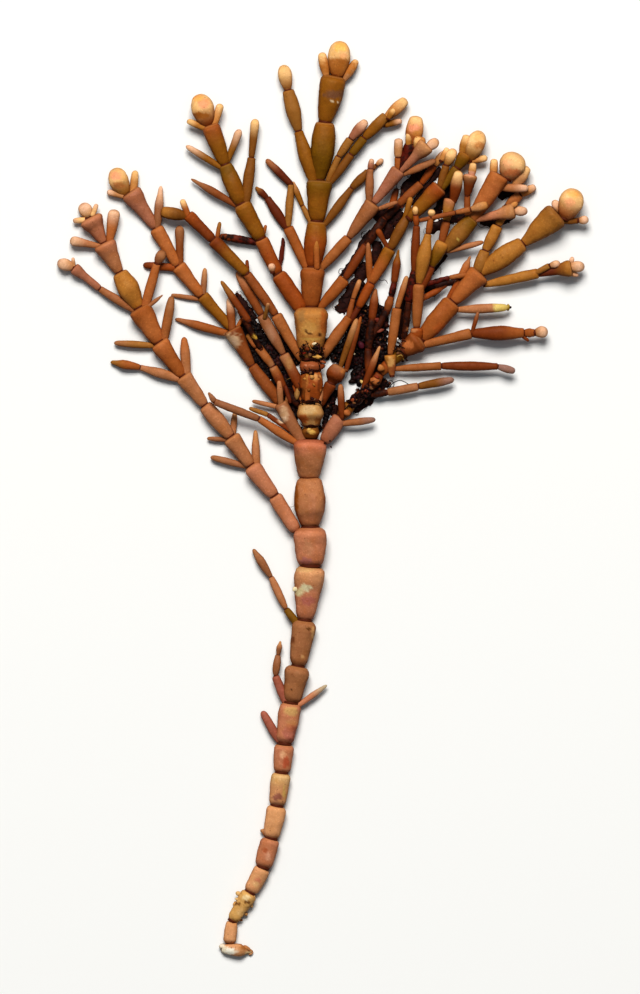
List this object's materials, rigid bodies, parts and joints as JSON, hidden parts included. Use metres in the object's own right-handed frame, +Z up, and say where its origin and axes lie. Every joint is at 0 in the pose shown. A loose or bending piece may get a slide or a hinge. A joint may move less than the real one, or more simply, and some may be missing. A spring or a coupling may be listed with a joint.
{
  "type": "dried coralline algae frond",
  "caption": "Dried, pressed frond of jointed coralline algae: a segmented limy stem that fans into feathery branches with round pale tips.",
  "frame": {"origin": "middle of the bounding box in plan, on the surface that the frond lies on", "axes": "+Y along the frond from the holdfast to the tips, +Z up out of the face that the picture shows, +X to the picture's right"},
  "size_m": [0.0266, 0.0458, 0.0015],
  "materials": {
    "terracotta_lime": "matte",
    "olive_lime": "matte",
    "russet_lime": "matte",
    "rose_lime": "matte"
  },
  "bodies": {
    "root": {"main_stem": "terracotta_lime", "left_low_branch": "terracotta_lime", "left_mid_branch": "russet_lime", "left_inner_branch": "terracotta_lime", "left_high_branch": "olive_lime", "main_axis": "olive_lime", "right_high_branch": "rose_lime", "right_inner_branch": "russet_lime", "right_mid_branch": "olive_lime", "right_low_branch": "russet_lime"}
  },
  "joints": []
}
